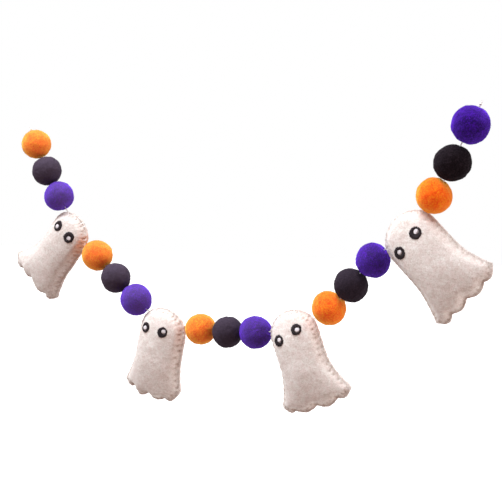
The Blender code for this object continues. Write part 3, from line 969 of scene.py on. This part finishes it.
def grain(material, where, look):
    """A noise texture over the given places."""
    texture = add_node(
        material, "TexNoise", Vector=where, Scale=look.scale, Detail=look.detail,
        Roughness=look.roughness, Distortion=look.distortion
    )
    return texture.outputs["Fac"]


def colour_ramp(owner, factor, stops):
    """Colours over a factor, from (place, colour) pairs."""
    ramp = add_node(owner, "ValToRGB", Fac=factor)
    while len(ramp.color_ramp.elements) < len(stops):
        ramp.color_ramp.elements.new(0.5)
    for element, (place, colour) in zip(ramp.color_ramp.elements, stops):
        element.position = place
        element.color = (*colour, 1.0)
    return ramp.outputs["Color"]


def mix_colour(material, factor, first, second, blend="MIX"):
    """Two colours mixed, each a socket or a plain colour."""
    mixed = material.node_tree.nodes.new("ShaderNodeMix")
    mixed.data_type = "RGBA"
    mixed.blend_type = blend
    for socket, value in ((mixed.inputs[0], factor), (mixed.inputs[6], first), (mixed.inputs[7], second)):
        if isinstance(value, bpy.types.NodeSocket):
            material.node_tree.links.new(value, socket)
        elif isinstance(value, tuple):
            socket.default_value = (*value, 1.0)
        else:
            socket.default_value = value
    return mixed.outputs[2]


def with_painted_haze(material, where, colour, faded):
    """A wool's colour with a painted haze of light added at the left end, less and less to the right."""
    split = add_node(material, "SeparateXYZ", Vector=where)
    across = add_node(
        material, "MapRange", Value=split.outputs["X"], From_Min=HAZE_FROM, From_Max=HAZE_TO,
        To_Min=1.0, To_Max=0.0
    )
    return mix_colour(material, across.outputs[0], colour, faded, "ADD")


def streaked_and_shaded_sheet(material, where, colour):
    """Sheet felt's colour with its faint streaks and the shade painted at each stitch hole and hem cut.
    """
    longer = add_node(material, "VectorMath", Vector=where)
    longer.operation = "MULTIPLY"
    longer.inputs[1].default_value = STREAK_WAVES
    streaks = grain(material, longer.outputs[0], STREAKS)
    streaked = colour_ramp(material, streaks, list(zip(STREAK_STOPS, (STREAK_DARK, WHITE))))
    colour = mix_colour(material, 1.0, colour, streaked, "MULTIPLY")
    # Painted shade: the colour turns darker and browner at each stitch hole and hem cut.
    hole = add_node(material, "Attribute")
    hole.attribute_name = "painted_hole_shade"
    return mix_colour(material, hole.outputs["Fac"], colour, HOLE_SHADE_COLOUR)


def bumped(material, height, strength, distance):
    """The way out of a surface that a height makes rough."""
    bump = add_node(material, "Bump", Strength=strength, Distance=distance, Height=height)
    return bump.outputs["Normal"]


def wool_material(name, wool, sheet=False):
    """Felted wool: mottled in soft patches and matted fibres, matt, with a soft glow of fuzz."""
    material = bpy.data.materials.new(name)
    material.use_nodes = True
    where = add_node(material, "TexCoord").outputs["Object"]
    patches = grain(material, where, PATCHES)
    matting = grain(material, where, MATTING)
    fuzz = grain(material, where, FUZZ)
    fibre_colours = (wool.dark, wool.plain, wool.light)
    mottled = colour_ramp(material, matting, list(zip(MATTING_STOPS, fibre_colours)))
    soft = colour_ramp(material, patches, list(zip(PATCH_STOPS, (wool.patch_low, wool.patch_high))))
    colour = mix_colour(material, 1.0, mottled, soft, "MULTIPLY")
    # Painted light: a pale haze added to the left end's colour, less and less to the right.
    if wool.faded:
        colour = with_painted_haze(material, where, colour, wool.faded)
    # Sheet felt gets its streaks and the painted shade at each stitch hole and hem cut.
    if sheet:
        colour = streaked_and_shaded_sheet(material, where, colour)
    rough = add_node(material, "Math")
    rough.operation = "MULTIPLY_ADD"
    rough.inputs[1].default_value = FUZZ_SHARE
    material.node_tree.links.new(fuzz, rough.inputs[0])
    material.node_tree.links.new(matting, rough.inputs[2])
    fitted(
        material, material.node_tree.nodes["Principled BSDF"], Base_Color=colour,
        Normal=bumped(material, rough.outputs[0], WOOL_BUMP, WOOL_BUMP_HEIGHT),
        Roughness=WOOL_ROUGHNESS, Specular_IOR_Level=WOOL_SPECULAR, Sheen_Weight=wool.sheen,
        Sheen_Roughness=wool.sheen_roughness, Sheen_Tint=(*wool.sheen_tint, 1.0)
    )
    return material


def floss_material(floss):
    """Cotton floss: fine fibres, a little darker here and there, with a soft lustre."""
    material = bpy.data.materials.new(floss.name)
    material.use_nodes = True
    fibre = grain(material, add_node(material, "TexCoord").outputs["Object"], FLOSS_GRAIN)
    fitted(
        material, material.node_tree.nodes["Principled BSDF"],
        Base_Color=colour_ramp(material, fibre, list(zip(FLOSS_STOPS, (floss.dark, floss.plain)))),
        Normal=bumped(material, fibre, FLOSS_BUMP, FLOSS_BUMP_HEIGHT),
        Roughness=floss.roughness, Specular_IOR_Level=FLOSS_SPECULAR, Sheen_Weight=floss.sheen
    )
    return material


def make_materials():
    """Every wool and thread of the garland."""
    made = {felt: wool_material(f"wool_{felt}", WOOLS[felt]) for felt in SLOTS}
    made["ivory"] = wool_material("felt_ivory", WOOLS["ivory"], sheet=True)
    for use, floss in FLOSSES.items():
        made[use] = floss_material(floss)
    return made


SLOTS = {"orange": "felt_orange", "black": "felt_black", "purple": "felt_purple"}


def dress(piece, slot, *nodes):
    """Puts a finished piece on the garland in place of its solids."""
    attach(piece, "root")
    if nodes:
        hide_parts(*nodes)


def sew_eye(eye, surface, place, materials, rng):
    """An eye on its ghost: the black ring and its white spot."""
    points, faces = satin_ring(eye, surface, rng)
    ring = new_object(f"satin_{eye.name}", moved(points, place), faces, materials["eye_black"])
    dress(ring, "eye_black", eye.name)
    points, faces = satin_spot(eye, surface, rng)
    spot_name = eye.name.replace("eye", "eye_spot")
    spot = new_object(f"satin_{spot_name}", moved(points, place), faces, materials["eye_white"])
    dress(spot, "eye_white", spot_name)


def make_garland():
    """Every ball, every ghost with its stitches and eyes, and the thread."""
    materials = make_materials()
    rng = np.random.default_rng(SEED)
    middles, route = lay_out_chain()
    for number, piece in enumerate(CHAIN):
        if piece.name.startswith("ball"):
            shift = BALL_SHIFT + BALL_SHIFT_STEP * number
            ball = felt_ball(piece, middles[piece.name], materials[piece.felt], rng, shift)
            dress(ball, SLOTS[piece.felt], piece.name)
    for number, ghost in enumerate(GHOSTS):
        shift = GHOST_SHIFT + GHOST_SHIFT_STEP * number
        body, sewn, surface, place = felt_ghost(
            ghost, middles[ghost.name], materials["ivory"], materials["floss"], rng, shift
        )
        dress(body, "felt_ivory", ghost.name)
        dress(sewn, "thread_cotton")
        for eye in EYES:
            if eye.ghost == ghost.name:
                sew_eye(eye, surface, place, materials, rng)
    points, faces = twisted_thread(route)
    thread = new_object("twisted_thread", points, faces, materials["thread"])
    dress(thread, "thread_cotton", "thread")


def make_camera():
    """The photograph's view: from the right of the front, looking a little down."""
    data = bpy.data.cameras.new("camera")
    data.sensor_width = SENSOR_WIDTH
    data.lens = LENS
    camera = bpy.data.objects.new("camera", data)
    camera.location = CAMERA_PLACE
    camera.rotation_euler = (radians(90 - CAMERA_DOWN), 0.0, radians(CAMERA_RIGHT))
    bpy.context.scene.collection.objects.link(camera)
    bpy.context.scene.camera = camera


def area_light(name, place, target, size, power, colour):
    """A soft round light that shines from its place to a target."""
    data = bpy.data.lights.new(name, "AREA")
    data.shape = "DISK"
    data.size = size
    data.energy = power
    data.color = colour
    lamp = bpy.data.objects.new(name, data)
    lamp.location = place
    lamp.rotation_euler = (Vector(target) - Vector(place)).to_track_quat("-Z", "Y").to_euler()
    bpy.context.scene.collection.objects.link(lamp)


def make_floor():
    """A white sweep far below, which no other surface sees."""
    bm = bmesh.new()
    bmesh.ops.create_grid(bm, x_segments=1, y_segments=1, size=FLOOR_HALF)
    mesh = bpy.data.meshes.new("floor")
    bm.to_mesh(mesh)
    bm.free()
    floor = bpy.data.objects.new("floor", mesh)
    floor.location = (FLOOR_ACROSS, 0.0, -FLOOR_DROP)
    bpy.context.scene.collection.objects.link(floor)
    white = bpy.data.materials.new("floor_white")
    white.use_nodes = True
    fitted(
        white, white.node_tree.nodes["Principled BSDF"], Base_Color=FLOOR_WHITE, Roughness=1.0,
        Specular_IOR_Level=0.0, Emission_Color=(*WHITE, 1.0), Emission_Strength=FLOOR_GLOW
    )
    mesh.materials.append(white)
    floor.visible_diffuse = False
    floor.visible_glossy = False


def make_room():
    """A white room that the camera sees plain and that lights the garland by its ramp."""
    world = bpy.data.worlds.new("white_room")
    bpy.context.scene.world = world
    world.use_nodes = True
    world.node_tree.nodes.clear()
    towards = add_node(world, "VectorMath", Vector=add_node(world, "TexCoord").outputs["Generated"])
    towards.operation = "DOT_PRODUCT"
    towards.inputs[1].default_value = Vector(DIM_SIDE).normalized()
    scale = add_node(world, "Math", Value=towards.outputs["Value"])
    scale.operation = "MULTIPLY_ADD"
    scale.inputs[1].default_value = 0.5
    scale.inputs[2].default_value = 0.5
    ramp = colour_ramp(world, scale.outputs[0], ROOM)
    light = add_node(world, "Background", Color=ramp, Strength=ROOM_STRENGTH)
    plain = add_node(world, "Background", Color=(*WHITE, 1.0))
    rays = add_node(world, "LightPath")
    mixed = add_node(world, "MixShader")
    world.node_tree.links.new(rays.outputs["Is Camera Ray"], mixed.inputs[0])
    world.node_tree.links.new(light.outputs[0], mixed.inputs[1])
    world.node_tree.links.new(plain.outputs[0], mixed.inputs[2])
    add_node(world, "OutputWorld", Surface=mixed.outputs[0])


def make_stage():
    """The floor, the white room, which is dimmest on the camera's side, and two soft lights."""
    make_floor()
    make_room()
    area_light("key", KEY_PLACE, KEY_TARGET, KEY_SIZE, KEY_POWER, KEY_COLOUR)
    area_light("bounce", BOUNCE_PLACE, BOUNCE_TARGET, BOUNCE_SIZE, BOUNCE_POWER, BOUNCE_COLOUR)
    bpy.context.scene.view_settings.view_transform = "Standard"


make_camera()
make_garland()
make_stage()
